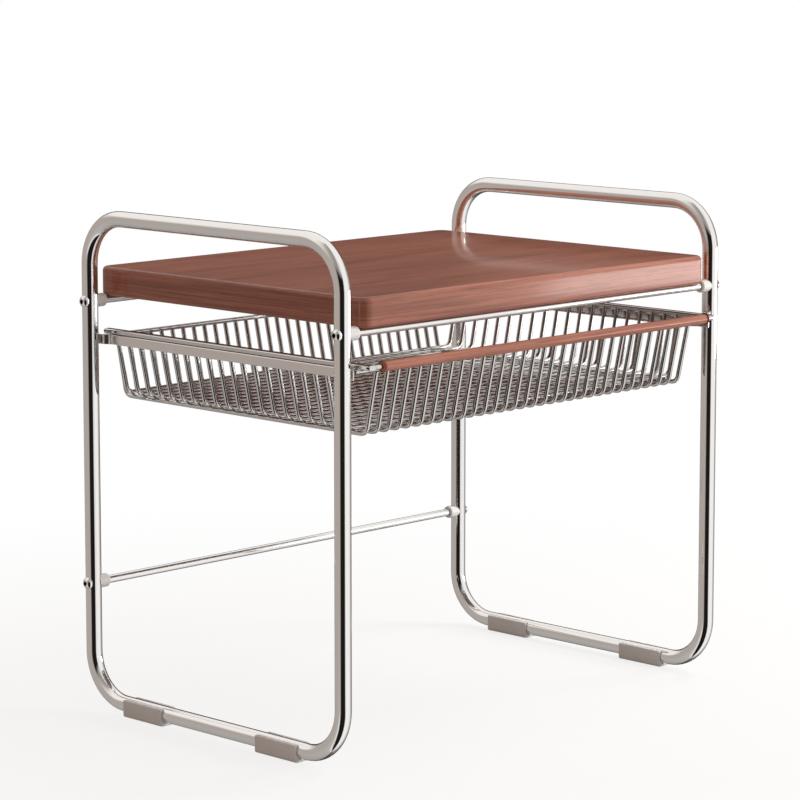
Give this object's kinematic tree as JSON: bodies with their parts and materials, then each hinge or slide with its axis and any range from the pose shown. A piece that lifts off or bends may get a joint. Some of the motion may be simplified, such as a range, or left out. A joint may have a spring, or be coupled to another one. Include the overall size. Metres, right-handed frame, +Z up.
{
  "type": "microwave stand with drawer",
  "caption": "Open tube-frame stand with a wooden shelf board on rods and a wire basket drawer with a wooden handle that slides on side runners.",
  "frame": {"origin": "on the ground, in the middle of the whole stand's outline", "axes": "+X to the right along the board, +Z up, the drawer opens towards -Y"},
  "size_m": [0.5592, 0.3938, 0.507],
  "materials": {
    "chrome": "polished",
    "chrome_wire": "polished",
    "runner_steel": "satin",
    "white_plastic": "satin",
    "board_wood": "satin lacquer",
    "handle_wood": "satin lacquer"
  },
  "bodies": {
    "frame": {"left_side_frame": "chrome", "left_runner": "runner_steel", "right_side_frame": "chrome", "right_runner": "runner_steel", "front_left_foot": "white_plastic", "rear_left_foot": "white_plastic", "front_right_foot": "white_plastic", "rear_right_foot": "white_plastic", "front_top_rod": "chrome", "front_top_rod_collars": "white_plastic", "rear_top_rod": "chrome", "rear_top_rod_collars": "white_plastic", "rear_lower_rod": "chrome", "rear_lower_rod_collars": "white_plastic", "frame_screws": "chrome", "top_board": "board_wood"},
    "drawer": {"left_drawer_rail": "chrome_wire", "right_drawer_rail": "chrome_wire", "left_guide_rod": "chrome_wire", "right_guide_rod": "chrome_wire", "handle_rod": "chrome_wire", "wooden_handle": "handle_wood", "drawer_front_bar": "chrome_wire", "drawer_back_bar": "chrome_wire", "lengthwise_wires": "chrome_wire", "crosswise_wires": "chrome_wire"}
  },
  "joints": [
    {"name": "drawer_slide", "type": "slide", "parent": "frame", "child": "drawer", "axis": [0, -1, 0], "range_m": [0, 0.24]}
  ]
}
